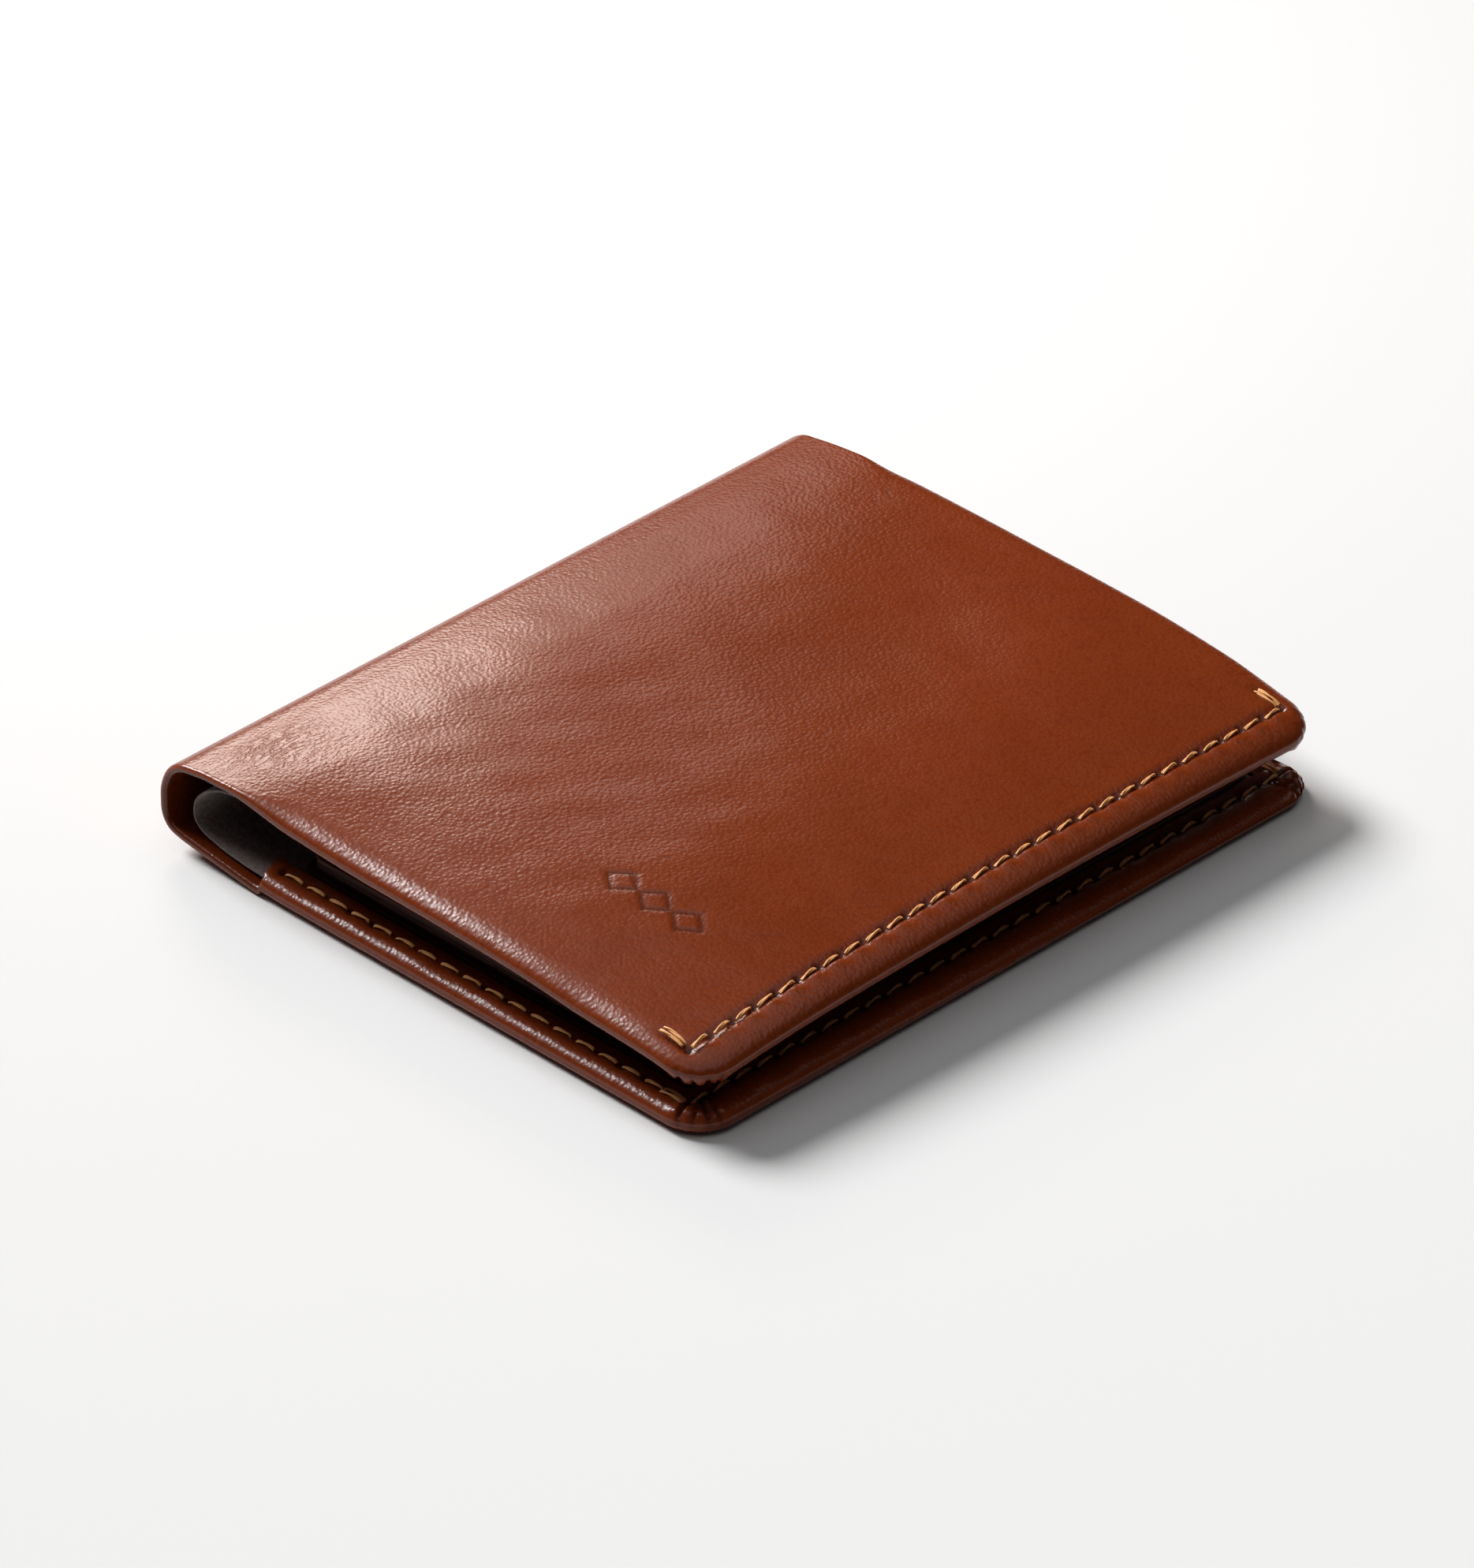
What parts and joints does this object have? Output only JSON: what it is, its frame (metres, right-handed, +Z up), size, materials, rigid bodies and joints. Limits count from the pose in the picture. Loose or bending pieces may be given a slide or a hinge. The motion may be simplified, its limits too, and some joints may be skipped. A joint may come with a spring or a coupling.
{
  "type": "bifold wallet",
  "caption": "Slim leather bifold wallet with a stitched turned edge, a full-length note compartment, slip pockets in both covers and a pull strap for the cards.",
  "frame": {"origin": "middle of the closed wallet's footprint, on the surface it lies on", "axes": "+X from the spine to the free edge, +Y along the spine from the sewn near edge to the open note mouth, +Z up through the covers"},
  "size_m": [0.088, 0.102, 0.014],
  "materials": {
    "leather": "semi-gloss fine grain",
    "inner_leather": "satin fine grain",
    "lining": "matte",
    "ribbon": "matte",
    "thread": "waxed"
  },
  "bodies": {
    "back": {"outer_leather_back": "leather", "note_lining_back": "lining", "note_divider_back": "lining", "inner_panel_back": "inner_leather", "rear_pocket_back": "inner_leather", "front_pocket_back": "inner_leather", "free_edge_seam_outer_back": "thread", "free_edge_seam_inner_back": "thread", "near_edge_seam_back": "thread", "corner_bar_tacks_back": "thread"},
    "spine": {"outer_leather_spine": "leather", "note_divider_spine": "lining"},
    "front": {"outer_leather_front": "leather", "note_lining_front": "lining", "note_divider_front": "lining", "inner_panel_front": "inner_leather", "rear_pocket_front": "inner_leather", "front_pocket_front": "inner_leather", "free_edge_seam_outer_front": "thread", "free_edge_seam_inner_front": "thread", "near_edge_seam_front": "thread", "corner_bar_tacks_front": "thread"},
    "pull_tab": {"pull_strap": "ribbon", "pull_grip": "inner_leather"}
  },
  "joints": [
    {"name": "back_fold", "type": "hinge", "parent": "back", "child": "spine", "pos_m": [-0.0432, 0, 0.002], "axis": [0, -1, 0], "range_deg": [-0.5, 88]},
    {"name": "front_fold", "type": "hinge", "parent": "spine", "child": "front", "pos_m": [-0.0429, 0, 0.0111], "axis": [0, -1, 0], "range_deg": [-0.5, 88]},
    {"name": "card_pull", "type": "slide", "parent": "back", "child": "pull_tab", "axis": [0, 1, 0], "range_m": [0, 0.025]}
  ],
  "couplings": [
    {"joint": "front_fold", "follows": "back_fold", "ratio": 1}
  ]
}
